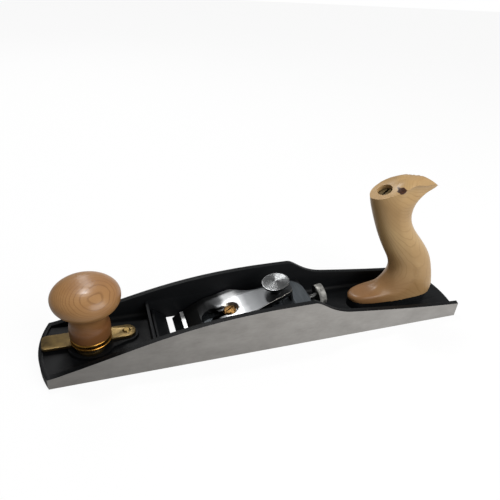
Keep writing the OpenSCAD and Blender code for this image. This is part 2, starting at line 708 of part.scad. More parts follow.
// Share of the half width, and squareness, of each ring
function tote_girth() = [[1, 3], [1, 2.9], [0.98, 2.8], [0.96, 2.7], [0.95, 2.6], [0.94, 2.5], [0.93, 2.4],
    [0.92, 2.4], [0.92, 2.4], [0.91, 2.4], [0.9, 2.4], [0.9, 2.4], [0.9, 2.4], [0.9, 2.4], [0.92, 2.5],
    [0.94, 2.6], [0.95, 2.6], [0.93, 2.4], [0.82, 2.2], [0.56, 2]];
module tote_loft() {
    per = 3;
    rise = tote_height / drawn_height;
    front = through(tote_front(), per);
    back = through(tote_back(), per);
    girth = through(tote_girth(), per);
    count = len(front);
    n = tote_sides;
    rings = [for (i = [0:count - 1]) let (f = front[i], b = back[i], c = (f + b)/2, h = (b - f)/2)
        [for (k = [0:n - 1]) let (a = 360*k / n, e = 2/girth[i][1],
            u = sign(cos(a))*pow(abs(cos(a)), e), v = sign(sin(a))*pow(abs(sin(a)), e))
            [tote_front_x + length_share*(c.x + h.x*u), tote_half_width*girth[i][0]*v,
                seat_height + rise*(c.y + h.y*u)]]];
    polyhedron([for (r = rings, q = r) q], concat(
        [[for (k = [0:n - 1]) k]],
        [for (i = [0:count - 2], k = [0:n - 1]) let (a = i*n + k, b = i*n + (k + 1) % n) [a, a + n, b + n]],
        [for (i = [0:count - 2], k = [0:n - 1]) let (a = i*n + k, b = i*n + (k + 1) % n) [a, b + n, b]],
        [[for (k = [n - 1:-1:0]) (count - 1)*n + k]]), convexity = 6);
}
module tote() {
    cut = tote_length;
    scoop = 1.5*nut_bore;
    color("burlywood") difference() {
        tote_loft();
        on_tote_rod() {
            across(cut) translate([0, flat_along_rod]) polygon(concat([[-cut, cut], [-cut, 0]],
                cubic([scoop*0.3, 0], [scoop*0.6, 0], [scoop*0.85, scoop*0.2], [scoop, scoop*0.6]),
                [[scoop, cut]]));
            translate([0, 0, -rod_reach])
                cylinder(d = tote_rod_diameter + 1, h = flat_along_rod + 2*rod_reach);
            translate([0, 0, flat_along_rod - nut_depth]) cylinder(d = nut_bore, h = 2*nut_depth);
        }
    }
}
nut_washer = 0.8;
nut_slot = 1.2;
nut_fit = 0.8;
nut_height = nut_depth - nut_washer - nut_sink;
module tote_rod() {
    color("silver") on_tote_rod() translate([0, 0, -rod_reach])
        cylinder(d = tote_rod_diameter, h = rod_reach + flat_along_rod - nut_sink - nut_slot);
}
module tote_washer() {
    color("silver") on_tote_rod() translate([0, 0, flat_along_rod - nut_depth]) difference() {
        cylinder(d = nut_bore - nut_fit/2, h = nut_washer);
        translate([0, 0, -1]) cylinder(d = tote_rod_diameter, h = nut_washer + 2);
    }
}
module tote_nut() {
    color("silver") on_tote_rod() translate([0, 0, flat_along_rod - nut_depth + nut_washer]) difference() {
        cylinder(d = nut_bore - nut_fit, h = nut_height);
        translate([0, 0, -1]) cylinder(d = tote_rod_diameter, h = nut_height - nut_slot + 1.4);
        rotate(20) translate([-nut_bore, -nut_fit, nut_height - nut_slot])
            cube([2*nut_bore, 2*nut_fit, nut_depth]);
    }
}

plane_body();
lever_pivot_pin();
toe_plate();
front_knob();
knob_ferrule();
knob_insert();
knob_stud();
knob_washer();
mouth_lever();
iron();
adjuster_rod();
adjuster_collar();
adjuster_wheel();
lever_cap();
lever_cap_screw();
clamp_screw();
tote();
tote_rod();
tote_nut();
tote_washer();
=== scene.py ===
"""Low-angle jack plane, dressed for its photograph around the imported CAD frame."""
import math

import bmesh
import bpy
from mathutils import Matrix, Vector


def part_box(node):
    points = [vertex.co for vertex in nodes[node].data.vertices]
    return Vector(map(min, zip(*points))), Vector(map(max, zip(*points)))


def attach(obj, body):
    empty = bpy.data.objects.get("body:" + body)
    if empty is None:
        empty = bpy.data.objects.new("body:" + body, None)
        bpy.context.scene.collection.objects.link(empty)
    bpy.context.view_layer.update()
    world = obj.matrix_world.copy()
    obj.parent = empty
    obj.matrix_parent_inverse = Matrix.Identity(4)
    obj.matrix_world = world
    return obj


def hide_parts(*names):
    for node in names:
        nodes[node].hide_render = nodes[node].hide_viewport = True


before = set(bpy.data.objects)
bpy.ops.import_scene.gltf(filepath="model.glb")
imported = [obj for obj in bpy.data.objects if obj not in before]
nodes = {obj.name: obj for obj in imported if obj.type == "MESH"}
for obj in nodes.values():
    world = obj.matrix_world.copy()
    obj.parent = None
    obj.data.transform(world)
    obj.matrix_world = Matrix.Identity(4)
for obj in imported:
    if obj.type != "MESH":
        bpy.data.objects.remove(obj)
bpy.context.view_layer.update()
MM = 0.001


def hex_colour(code):
    """Linear RGBA of an sRGB hex colour."""
    parts = [int(code[i:i + 2], 16) / 255 for i in (1, 3, 5)]
    return [p / 12.92 if p <= 0.04045 else ((p + 0.055) / 1.055) ** 2.4 for p in parts] + [1.0]


def add(material, kind, sockets=None, **settings):
    """Adds a node with its settings. A socket is given a value, or another node's output to link."""
    tree = material.node_tree
    node = tree.nodes.new("ShaderNode" + kind)
    for name, value in settings.items():
        setattr(node, name, value)
    for name, value in (sockets or {}).items():
        if isinstance(value, bpy.types.NodeSocket):
            tree.links.new(value, node.inputs[name])
        else:
            node.inputs[name].default_value = value
    return node


def new_material(name):
    """A node material with its Principled shader, ready to be filled."""
    material = bpy.data.materials.new(name)
    material.use_nodes = True
    return material, material.node_tree.nodes["Principled BSDF"]


def feed(material, shader, **inputs):
    """Sets or links the shader's inputs: base_color becomes Base Color."""
    for name, value in inputs.items():
        socket = shader.inputs[name.replace("_", " ").title().replace("Ior", "IOR")]
        if isinstance(value, bpy.types.NodeSocket):
            material.node_tree.links.new(value, socket)
        else:
            socket.default_value = value


def bump(material, height, strength, distance):
    """Normal output of a bump of that height in metres."""
    return add(material, "Bump", {"Strength": strength, "Distance": distance, "Height": height}).outputs["Normal"]


def ramp(material, factor, stops):
    """Colour ramp through (place, hex colour) stops."""
    node = add(material, "ValToRGB", {"Fac": factor})
    while len(node.color_ramp.elements) < len(stops):
        node.color_ramp.elements.new(0.5)
    for element, (position, code) in zip(node.color_ramp.elements, stops):
        element.position = position
        element.color = hex_colour(code)
    return node.outputs["Color"]


def noise(material, vector, spacing, detail=4.0, rough=0.5):
    """Noise whose blotches are about that many millimetres across."""
    return add(material, "TexNoise", {"Vector": vector, "Scale": 1 / (spacing * MM), "Detail": detail,
                                      "Roughness": rough}).outputs["Fac"]


def between(material, value, low, high, to_low=0.0, to_high=1.0):
    """Maps a value's range to another, and holds it inside."""
    return add(material, "MapRange", {"Value": value, "From Min": low, "From Max": high,
                                      "To Min": to_low, "To Max": to_high}).outputs["Result"]


def sized(material, vector, scale, turn=(0, 0, 0), shift=(0, 0, 0)):
    """Stretches, turns and shifts coordinates."""
    return add(material, "Mapping", {"Vector": vector, "Scale": scale, "Rotation": turn,
                                     "Location": shift}).outputs["Vector"]


def mixed(material, factor, first, second):
    """Colour between two others."""
    return add(material, "MixRGB", {"Fac": factor, "Color1": first, "Color2": second}).outputs["Color"]


def math_node(material, operation, first, second=0.0):
    """A number made from two others."""
    return add(material, "Math", {0: first, 1: second}, operation=operation).outputs["Value"]


def vector_math(material, operation, first, second=(0, 0, 0)):
    """Outputs of an operation on two vectors."""
    return add(material, "VectorMath", {0: first, 1: second}, operation=operation).outputs


def product(material, first, second):
    """Two numbers multiplied."""
    return math_node(material, "MULTIPLY", first, second)


def shared(material, share, first, second):
    """Number that is the first where the share is 1, and the second where it is 0."""
    rest = math_node(material, "SUBTRACT", 1.0, share)
    return math_node(material, "ADD", product(material, share, first), product(material, rest, second))


def parts_of(material, vector):
    """X, Y and Z of a vector."""
    return add(material, "SeparateXYZ", {0: vector}).outputs


def place(material):
    """Object coordinates, which hold still on the piece."""
    return add(material, "TexCoord").outputs["Object"]


def facing(material):
    """X, Y and Z of the surface's direction, in the object's frame."""
    return parts_of(material, add(material, "TexCoord").outputs["Normal"])


# Camera: fitted to the photograph, looking down on the near cheek from ahead of the toe
CAMERA_PLACE = Vector((-126.8, -290.5, 267.3)) * MM
CAMERA_RIGHT = Vector((0.94809, -0.31114, 0.06569))
CAMERA_DOWN = Vector((-0.11132, -0.51824, -0.84796))
CAMERA_AHEAD = Vector((0.29788, 0.79663, -0.52598))
PHOTO_WIDTH = 500
FOCAL_PIXELS = 481.3


def make_camera():
    """The camera that sees the object as the photograph does."""
    data = bpy.data.cameras.new("photo_camera")
    camera = bpy.data.objects.new("photo_camera", data)
    bpy.context.scene.collection.objects.link(camera)
    data.sensor_width = 36.0
    data.lens = FOCAL_PIXELS / PHOTO_WIDTH * data.sensor_width
    data.clip_start, data.clip_end = 0.01, 20.0
    turn = Matrix((CAMERA_RIGHT, -CAMERA_DOWN, -CAMERA_AHEAD)).transposed()
    camera.matrix_world = Matrix.Translation(CAMERA_PLACE) @ turn.to_4x4()
    bpy.context.scene.camera = camera


def soft_light(name, place_mm, aim_mm, size_mm, watts):
    """A softbox of a width and a height at a place, facing a point, all in millimetres."""
    data = bpy.data.lights.new(name, "AREA")
    data.shape, data.energy = "RECTANGLE", watts
    data.size, data.size_y = size_mm[0] * MM, size_mm[1] * MM
    lamp = bpy.data.objects.new(name, data)
    bpy.context.scene.collection.objects.link(lamp)
    lamp.location = Vector(place_mm) * MM
    lamp.rotation_euler = (Vector(aim_mm) - Vector(place_mm)).to_track_quat("-Z", "Y").to_euler()


# Toward the toe, and toward the heel: direction's X and the level that glossy surfaces see there
DARK_SIDE = (-0.45, 0.05)
BRIGHT_SIDE = (0.5, 0.4)
# The even light on everything else
DIM_WORLD = 0.3


def make_world():
    """A white studio that darkens toward the toe's side, and a dim even light on everything that isn't glossy."""
    world = bpy.data.worlds.new("white_studio")
    bpy.context.scene.world = world
    world.use_nodes = True
    background = world.node_tree.nodes["Background"]
    background.inputs["Color"].default_value = hex_colour("#ffffff")
    path = add(world, "LightPath")
    toward = parts_of(world, add(world, "TexCoord").outputs["Generated"])["X"]
    seen = math_node(world, "MAXIMUM", path.outputs["Is Camera Ray"], path.outputs["Is Transmission Ray"])
    level = between(world, toward, DARK_SIDE[0], BRIGHT_SIDE[0], DARK_SIDE[1], BRIGHT_SIDE[1])
    total = math_node(world, "MAXIMUM", seen, shared(world, path.outputs["Is Glossy Ray"], level, DIM_WORLD))
    world.node_tree.links.new(total, background.inputs["Strength"])


FLOOR_SIZE = 6.0
FLOOR_DROP = 0.2 * MM
FLOOR_PAPER = "#fafafa"
FLOOR_GLOW = 0.92
# The floor as glossy surfaces see it, at two places along X, and the grey that limits its bounced light
FLOOR_DARK = (-0.2, 0.15)
FLOOR_BRIGHT = (0.1, 1.0)
FLOOR_BOUNCE = "#8a8a8a"


def make_floor():
    """Pale paper under the plane: white in the picture, with a faint soft shadow."""
    bpy.ops.mesh.primitive_plane_add(size=FLOOR_SIZE, location=(0, 0, -FLOOR_DROP))
    floor = bpy.context.object
    floor.name = "floor"
    material, shader = new_material("white_paper_sweep")
    path = add(material, "LightPath")
    paper = mixed(material, path.outputs["Is Camera Ray"], hex_colour(FLOOR_BOUNCE), hex_colour(FLOOR_PAPER))
    feed(material, shader, base_color=paper, roughness=0.9)
    across = parts_of(material, place(material))["X"]
    glow = add(material, "Emission", {"Color": hex_colour("#ffffff"), "Strength": 1.0})
    seen = math_node(material, "MAXIMUM", path.outputs["Is Camera Ray"], path.outputs["Is Transmission Ray"])
    level = between(material, across, FLOOR_DARK[0], FLOOR_BRIGHT[0], FLOOR_DARK[1], FLOOR_BRIGHT[1])
    mirrored = product(material, path.outputs["Is Glossy Ray"], level)
    share = math_node(material, "MAXIMUM", product(material, seen, FLOOR_GLOW), mirrored)
    blend = add(material, "MixShader", {0: share, 1: shader.outputs[0], 2: glow.outputs[0]})
    output = material.node_tree.nodes["Material Output"]
    material.node_tree.links.new(blend.outputs[0], output.inputs["Surface"])
    floor.data.materials.append(material)


make_camera()
make_world()
make_floor()
soft_light("crest_strip", (-175, 1010, 740), (-20, 0, 30), (150, 800), 1.7)
soft_light("disc_strip", (-45, 823, 942), (10, 0, 40), (150, 150), 0.8)
soft_light("key_softbox", (470, -700, 680), (60, 0, 20), (800, 800), 9.5)
soft_light("top_softbox", (-180, 500, 1180), (-60, 0, 20), (170, 170), 5.2)
bpy.context.scene.view_settings.view_transform = "Standard"

# Sizes read from the frame, in metres
tote_low, tote_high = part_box("tote")
ferrule_low, ferrule_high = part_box("knob_ferrule")
PLATE_CLEARANCE = 0.15 * MM
INNER_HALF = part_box("toe_plate")[1].y + PLATE_CLEARANCE
# The cutting edge, and the directions along the bed and square to it
EDGE = Vector((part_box("iron")[0].x, 0, 0))
BED_ANGLE = math.radians(12)
UP_BED = Vector((math.cos(BED_ANGLE), 0, math.sin(BED_ANGLE)))
OFF_BED = Vector((-math.sin(BED_ANGLE), 0, math.cos(BED_ANGLE)))
# Places on the bed in millimetres from the edge: the clamp screw's face, the adjuster's rod and wheel
ROD_DROP = 3.6
CLAMP_CENTRE = EDGE + UP_BED * 87.4 * MM + OFF_BED * 25 * MM
WHEEL_CENTRE = EDGE + UP_BED * 124 * MM - OFF_BED * ROD_DROP * MM


def to_bed(material):
    """Object coordinates up the bed from the cutting edge: X along it, Z square to it."""
    shifted = sized(material, place(material), (1, 1, 1), shift=(-EDGE.x, 0, 0))
    return sized(material, shifted, (1, 1, 1), turn=(0, BED_ANGLE, 0))


def across_plane(material):
    """Direction across the plane, along which lengthwise brushing spreads a highlight."""
    return add(material, "CombineXYZ", {"Y": 1.0}).outputs["Vector"]


# Over what distances the bare metal comes in, in metres: on the sides, from the middle, and on the sole, down to it
GROUND_SIDE = (INNER_HALF + 2.5 * MM, INNER_HALF + 3.0 * MM)
GROUND_SOLE = (0.1 * MM, 0.05 * MM)


def body_casting():
    """Grey cast iron, its sides and sole surface ground, and painted satin black elsewhere.
    The eye sees a dull warm grey cheek with faint clouds, a bright line along its edge, and a deep black inside."""
    material, shader = new_material("ground_and_japanned_cast_iron")
    here = place(material)
    axis = parts_of(material, here)
    side = math_node(material, "ABSOLUTE", axis["Y"])
    square_on = math_node(material, "ABSOLUTE", facing(material)["Y"])
    on_cheek = product(material, between(material, side, *GROUND_SIDE), between(material, square_on, 0.3, 0.6))
    on_sole = between(material, axis["Z"], *GROUND_SOLE)
    ground = math_node(material, "MAXIMUM", on_cheek, on_sole)
    lines = noise(material, sized(material, here, (0.12, 1, 1)), 1.0, 3.0, 0.6)
    cloud = noise(material, sized(material, here, (0.8, 1, 1.3)), 14.0, 5.0, 0.6)
    grey = mixed(material, 0.12, ramp(material, cloud, [(0.3, "#979490"), (0.7, "#a7a4a0")]),
                 ramp(material, lines, [(0.35, "#868380"), (0.65, "#afaca8")]))
    grit = noise(material, here, 0.9, 5.0, 0.65)
    black = ramp(material, grit, [(0.35, "#050608"), (0.75, "#0d0f11")])
    rough_ground = between(material, cloud, 0.3, 0.7, 0.52, 0.44)
    rough_black = between(material, grit, 0.3, 0.7, 0.5, 0.62)
    feed(material, shader, base_color=mixed(material, ground, black, grey), metallic=ground,
         roughness=shared(material, ground, rough_ground, rough_black), specular_ior_level=0.18,
         normal=bump(material, shared(material, ground, lines, grit), 0.2, 0.03 * MM))
    return material


def machined_steel(name, light, dark, rough):
    """Plain steel with fine tool lines along it and a faint haze."""
    material, shader = new_material(name)
    here = place(material)
    lines = noise(material, sized(material, here, (0.05, 1, 1)), 0.6, 4.0, 0.6)
    haze = noise(material, here, 7.0, 3.0, 0.5)
    feed(material, shader, base_color=ramp(material, lines, [(0.3, dark), (0.7, light)]), metallic=1.0,
         roughness=between(material, haze, 0.3, 0.7, rough - 0.04, rough + 0.05),
         normal=bump(material, lines, 0.15, 0.02 * MM))
    return material


# Between the lathe's rings on a faced screw, in millimetres
RING_SPACING = 0.5


def faced_steel(name, centre, axle, light, dark, rough, dish=0.0):
    """Steel faced in a lathe: fine rings round its axis spread each highlight into a wedge. A dish makes it hollow."""
    material, shader = new_material(name)
    outward = vector_math(material, "SUBTRACT", place(material), centre)["Vector"]
    aside = vector_math(material, "CROSS_PRODUCT", outward, axle)["Vector"]
    radius = vector_math(material, "LENGTH", aside)["Value"]
    rings = add(material, "TexNoise", {"W": radius, "Scale": 1 / (RING_SPACING * MM), "Detail": 3.0,
                                       "Roughness": 0.7}, noise_dimensions="1D").outputs["Fac"]
    world = add(material, "VectorTransform", {"Vector": outward}, vector_type="VECTOR", convert_from="OBJECT",
                convert_to="WORLD").outputs["Vector"]
    feed(material, shader, base_color=ramp(material, rings, [(0.35, dark), (0.65, light)]), metallic=1.0,
         roughness=between(material, rings, 0.3, 0.7, rough - 0.03, rough + 0.03), anisotropic=0.85, tangent=world)
    if dish:
        feed(material, shader, normal=bump(material, radius, 1.0, dish))
    return material


# The stretch of the bed that the cap's painted highlight and painted shade are laid over, in metres, and how far they
# wander
CAP_STRETCH = (32 * MM, 82 * MM)
CAP_WANDER = 4 * MM
# Tones along that stretch, all painted light: painted shade on the front, a painted highlight over the crest, painted
# shade along the tongue
CAP_PAINTED_LIGHT_TONES = [(0.12, "#5c5d5e"), (0.22, "#747576"), (0.3, "#dcdddd"), (0.46, "#e6e7e7"), (0.54, "#8e8f90"),
             (0.63, "#636465"), (0.84, "#4c4d4e")]


def cap_casting():
    """Steel cap, brushed along its length, which spreads each highlight across it. Its colour carries painted light: a
    painted highlight over its crest, painted shade in front and along its tongue, and pale chamfered edges that are
    partly worn steel and partly painted highlight."""
    material, shader = new_material("satin_cap_steel")
    bed = to_bed(material)
    lines = noise(material, sized(material, bed, (0.1, 1, 1)), 0.6, 4.0, 0.65)
    wander = noise(material, bed, 9.0, 3.0, 0.5)
    reach = math_node(material, "ADD", parts_of(material, bed)["X"], product(material, wander, CAP_WANDER))
    # Painted highlight over the crest, and painted shade in front of it and along the tongue, laid along the bed
    tone = ramp(material, between(material, reach, *CAP_STRETCH), CAP_PAINTED_LIGHT_TONES)
    brushed = mixed(material, product(material, lines, 0.3), tone, hex_colour("#3c3d3e"))
    ways = facing(material)
    turned_aside = math_node(material, "ABSOLUTE", ways["Y"])
    # The pale colour on the chamfered edges is partly worn steel and partly painted highlight
    edge = product(material, between(material, turned_aside, 0.25, 0.45), between(material, ways["Z"], 0.3, 0.5))
    feed(material, shader, base_color=mixed(material, edge, brushed, hex_colour("#cfcbc1")), metallic=1.0,
         roughness=0.4, anisotropic=0.75, tangent=across_plane(material),
         normal=bump(material, lines, 0.18, 0.02 * MM))
    return material


# The iron's land, coloured white as a painted reflection: distances up the bed where it comes in and where it ends, in
# metres
LAND_START = (7.0 * MM, 7.2 * MM)
LAND_END = (12.2 * MM, 12.0 * MM)


def cutter_steel():
    """Hardened tool steel, fine ground. The land behind the bevel is finished by lapping, and is coloured white: a
    painted reflection.
    """
    material, shader = new_material("hardened_tool_steel")
    bed = to_bed(material)
    reach = parts_of(material, bed)["X"]
    lines = noise(material, sized(material, bed, (1, 0.05, 1)), 0.7, 3.0, 0.6)
    # Mask of the land that is painted white: a painted reflection
    land_painted_white = product(material, between(material, reach, *LAND_START), between(material, reach, *LAND_END))
    grey = ramp(material, lines, [(0.3, "#3f4346"), (0.7, "#53575a")])
    feed(material, shader, base_color=mixed(material, land_painted_white, grey, hex_colour("#fdfdfd")),
         metallic=1.0, roughness=0.5, anisotropic=0.7, tangent=across_plane(material),
         normal=bump(material, lines, 0.12, 0.02 * MM))
    return material


def brass(name, light, dark, rough, along=(1, 1, 1)):
    """Yellow brass: warm, with darker handled patches and fine tool lines."""
    material, shader = new_material(name)
    here = place(material)
    lines = noise(material, sized(material, here, along), 0.8, 3.0, 0.6)
    stain = noise(material, here, 5.0, 4.0, 0.6)
    tone = mixed(material, 0.3, ramp(material, stain, [(0.3, dark), (0.7, light)]),
                 ramp(material, lines, [(0.3, dark), (0.7, light)]))
    feed(material, shader, base_color=tone, metallic=1.0,
         roughness=between(material, stain, 0.3, 0.7, rough - 0.05, rough + 0.08),
         normal=bump(material, lines, 0.1, 0.02 * MM))
    return material


# How far the edge of the maple's darker rosy tone wanders: partly the wood's own colour, partly painted shade
BLUSH_AND_SHADE_WANDER = 30 * MM


def hard_maple(name, pith, turn, tones, ring, contrast, blush_and_shade, climb, coat, knot=None):
    """Varnished hard maple, cut so that its growth rings run round a distant pith, in millimetres.
    The eye sees pale tan wood with rosy and greenish drifts, thin brown ring lines, and a soft sheen. The tones are
    three of the wood, the ring's line, and a darker rosy brown, partly the wood's own colour and partly painted shade,
    which fades between two places along the climb."""
    material, shader = new_material(name)
    here = place(material)
    from_pith = sized(material, here, (1, 1, 1), shift=tuple(-x * MM for x in pith))
    axis = sized(material, from_pith, (1, 1, 1), turn=turn)
    wander = noise(material, sized(material, axis, (1, 1, 0.4)), 30.0, 2.0, 0.45)
    waver = noise(material, sized(material, axis, (1, 1, 0.5)), 7.0, 2.0, 0.5)
    fibre = noise(material, sized(material, axis, (1, 1, 0.06)), 0.7, 3.0, 0.6)
    radius = vector_math(material, "LENGTH", sized(material, axis, (1, 1, 0)))["Value"]
    drift = math_node(material, "ADD", product(material, wander, 3.0), product(material, waver, 0.9))
    bent = math_node(material, "ADD", math_node(material, "DIVIDE", radius, ring * MM), drift)
    saw = math_node(material, "FRACT", bent)
    line = ramp(material, saw, [(0.0, "#000000"), (0.68, "#202020"), (0.9, "#ffffff"), (1.0, "#000000")])
    uneven = noise(material, sized(material, axis, (1, 1, 0.5)), 22.0, 2.0, 0.5)
    fade = between(material, uneven, 0.35, 0.6, 0.35, 1.0)
    patch = noise(material, sized(material, axis, (1, 1, 0.35)), 24.0, 3.0, 0.5)
    wood = ramp(material, patch, [(0.3, tones[0]), (0.5, tones[1]), (0.7, tones[2])])
    toward = vector_math(material, "DOT_PRODUCT", here, climb)["Value"]
    reach = math_node(material, "ADD", toward,
                      product(material, math_node(material, "SUBTRACT", wander, 0.5), BLUSH_AND_SHADE_WANDER))
    # Toward the low end of the climb the wood darkens to a rosy brown: partly the wood's own colour, partly painted
    # shade on the knob's drum and along the tote's front and foot
    rosy = between(material, reach, blush_and_shade[0] * MM, blush_and_shade[1] * MM, 0.8, 0.0)
    wood = mixed(material, rosy, wood, hex_colour(tones[4]))
    streaks = mixed(material, product(material, fibre, 0.3), wood, hex_colour(tones[0]))
    share = product(material, product(material, line, fade), contrast)
    grain = mixed(material, share, streaks, hex_colour(tones[3]))
    if knot:
        grain = knotted(material, here, grain, knot)
    feed(material, shader, base_color=grain, roughness=0.45, specular_ior_level=0.15, coat_weight=coat,
         coat_roughness=0.26, normal=bump(material, fibre, 0.06, 0.03 * MM))
    return material


# The knot is narrow where this is great: per metre, along X, Y and Z
KNOT_SQUEEZE = (230, 160, 330)


def knotted(material, here, grain, centre):
    """A small pin knot in the wood's near side: dark brown, with an uneven edge."""
    away = vector_math(material, "SUBTRACT", here, tuple(x * MM for x in centre))["Vector"]
    span = vector_math(material, "LENGTH", sized(material, away, KNOT_SQUEEZE))["Value"]
    edge = math_node(material, "ADD", span, product(material, noise(material, here, 3.0, 2.0), 0.9))
    inside = between(material, edge, 1.5, 1.3)
    heart = ramp(material, noise(material, here, 1.2, 3.0), [(0.35, "#2b160b"), (0.65, "#452512")])
    return mixed(material, inside, grain, heart)


def dress(node, material):
    """Gives a node of the frame its finish."""
    nodes[node].data.materials.clear()
    nodes[node].data.materials.append(material)


# Modelled pieces
WELD = 0.004 * MM


def pick(test):
    """Selects the vertices of the mesh in edit mode that pass a test of their place, and what joins them."""
    mesh = bmesh.from_edit_mesh(bpy.context.object.data)
    for vertex in mesh.verts:
        vertex.select = test(vertex.co)
    mesh.select_flush_mode()
    bmesh.update_edit_mesh(bpy.context.object.data)


def extrude_ring(step, ratio, centre):
    """Extrudes the selected ring by a step, and resizes it about its new centre."""
    bpy.ops.mesh.extrude_region_move(TRANSFORM_OT_translate={"value": step})
    bpy.ops.transform.resize(value=(ratio, ratio, ratio), center_override=centre)


def settle(name, body, material, *replaced):
    """Puts a finished piece at the origin, with its finish and the body that carries it."""
    piece = bpy.context.object
    piece.name = name
    bpy.ops.object.transform_apply(location=True, rotation=True, scale=True)
    piece.data.materials.clear()
    piece.data.materials.append(material)
    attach(piece, body)
    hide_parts(*replaced)


def apply_modifier(kind, **settings):
    """Adds a modifier to the active object and applies it."""
    modifier = bpy.context.object.modifiers.new(kind.lower(), kind)
    for name, value in settings.items():
        setattr(modifier, name, value)
    bpy.ops.object.modifier_apply(modifier=modifier.name)


def eased_copy(node, body, material, width, angle=30, chamfered=None):
    """A copy of a machined node with its edges sharper than the angle eased by a width in millimetres, as a
    maker's file leaves them. A test of place chooses edges that get a wide chamfer first."""
    bpy.ops.object.select_all(action="DESELECT")
    piece = nodes[node].copy()
    piece.data = nodes[node].data.copy()
    bpy.context.scene.collection.objects.link(piece)
    bpy.context.view_layer.objects.active = piece
    piece.select_set(True)
    bpy.ops.object.mode_set(mode="EDIT")
    bpy.ops.mesh.select_all(action="SELECT")
    bpy.ops.mesh.remove_doubles(threshold=WELD)
    bpy.ops.mesh.dissolve_limited(angle_limit=math.radians(0.5))
    if chamfered:
        bpy.ops.mesh.select_mode(type="VERT")
        pick(chamfered)
        bpy.ops.mesh.bevel(offset=TONGUE_CHAMFER * MM, segments=3, affect="EDGES", clamp_overlap=True)
    bpy.ops.object.mode_set(mode="OBJECT")
    apply_modifier("BEVEL", width=width * MM, segments=2, limit_method="ANGLE",
                   angle_limit=math.radians(angle), use_clamp_overlap=True)
    bpy.ops.object.shade_smooth_by_angle(angle=math.radians(angle))
    settle("eased_" + node, body, material, node)


# Width of the worn chamfer round the cap's tongue, in millimetres
TONGUE_CHAMFER = 1.9
# A point on the tongue's flat top, the direction square to it, and how near to it an edge counts as its rim
TONGUE_TOP = Vector((-7.1, 0, 28.2)) * MM
TONGUE_NORMAL = Vector((-0.265, 0, 0.9642))
TONGUE_DEPTH = 0.35 * MM
# Where the tongue begins along X, half the middle strip that has no rim, and the clamp screw's surroundings
TONGUE_FROM = -10 * MM
TONGUE_MIDDLE = 3 * MM
SCREW_REACH = 9 * MM


def on_tongue_edge(point):
    """Whether a point is on the rim of the tongue's top, away from the clamp screw's hole."""
    beside = (point - CLAMP_CENTRE).cross(OFF_BED).length
    return (point.x > TONGUE_FROM and abs(point.y) > TONGUE_MIDDLE and beside > SCREW_REACH
            and abs((point - TONGUE_TOP).dot(TONGUE_NORMAL)) < TONGUE_DEPTH)


# Front end of the tote's foot, whose back end is 83.6 mm behind it
TOTE_FOOT = Vector((tote_high.x - 83.6 * MM, 0, tote_low.z))
# The tote's rod: its lean, its foot behind the tote's front, and up it the top's flat, in millimetres
ROD_LEAN = math.radians(25)
ROD_FROM_FRONT = 61.4
FLAT_UP_ROD = 115.6
# The nut's counterbore: its radius, its length, and how far it stands out above the flat
RECESS_RADIUS, RECESS_LENGTH, RECESS_ABOVE = 5.9, 14.6, 8
# Rings of the tote from its foot: front x and z, back x and z, half width, in millimetres
TOTE_RINGS = [
    (0.6, 0, 83.4, 0, 13.0), (-0.3, 2.8, 84.2, 3.6, 13.1), (3.2, 5.8, 84.2, 8.4, 12.9), (12, 6.8, 83.2, 12, 12.6),
    (21, 9.0, 82.2, 15.5, 12.4), (28.5, 14.2, 80.8, 20.5, 12.3), (33.6, 21.5, 78.8, 26, 12.2),
    (35.4, 29.5, 76.4, 32.5, 12.1), (32.4, 38, 73, 39.3, 12), (25.8, 47.7, 67.6, 46.8, 11.9),
    (19.2, 58.4, 60.2, 55.2, 11.8), (13.9, 68.6, 51.3, 64.5, 11.8), (9.3, 78.4, 45, 73, 11.8), (5.2, 87.9, 42, 81, 12),
    (2.4, 95, 42.2, 89, 12.6), (1.0, 100.5, 44.6, 96, 13), (0.8, 104.5, 51.5, 101.2, 13.2),
    (1, 109, 63.2, 103.6, 13.2), (2, 115, 64.8, 110, 13.2), (3, 122, 64.8, 118, 13.2), (4, 128, 63.4, 125, 13)]
# Length and half width of the foot's round front end, how square it becomes, and from what height and over what
# height that fades, in millimetres
FOOT_ROUND, FOOT_HALF = 34.0, 13.1
FOOT_POWER = 2.9
FOOT_SQUARE = (7, 10)
# The same for the heel: from where along the foot its round begins, and its length, with the share of it squared
HEEL_ROUND = (50, 34.4)
HEEL_SQUARED = 0.98
HEEL_SQUARE = (8, 30)
# Top of the tote along its middle: x and z
TOTE_CREST = [(-6, 95.7), (0, 98.5), (6, 101.3), (12.7, 104.6), (18, 107.9), (23, 111.4), (28, 114.4), (33, 116.0),
              (39, 116.0), (46, 113.8), (54, 110.1), (60, 106.5), (66, 102)]
# Nothing stands above this, which keeps the tote inside its node's height
TOTE_HEIGHT = (tote_high.z - tote_low.z) / MM - 0.05
# How fast the top falls away to each side of its middle: x, and the fall per square millimetre
TOTE_CROWN = [(10, 0), (16, 0.006), (22, 0.02), (28.5, 0.034), (37, 0.062), (47, 0.13), (55, 0.2), (62, 0.25)]
# Half width of the top seen from above, out to the horn's tip
HORN_HALF = [(0, 12.8), (18, 12.6), (28.5, 11.2), (36.9, 9.4), (46.8, 6.4), (56, 3), (61.7, 0.6), (64, 0.3)]
# Above this the top is carved, and below it the foot is squared. The horn's taper comes in from HORN_FROM over
# HORN_OVER
CARVE_FROM = 85
HORN_FROM, HORN_OVER = 92, 10
# The hollow of each side: its depth, its middle below the ridge and its spread, where along x it comes in and
# over what length, and the half width over which it fades toward the middle
HOLLOW_DEPTH, HOLLOW_BELOW, HOLLOW_SPREAD = 1.3, 4.5, 5
HOLLOW_FROM, HOLLOW_OVER, HOLLOW_MIDDLE = 20, 9, 7
# The flat by the nut leans to one side by this slope, and straightens from where along x, over what length
FLAT_SLOPE, FLAT_TO, FLAT_OVER = 0.07, 22, 12
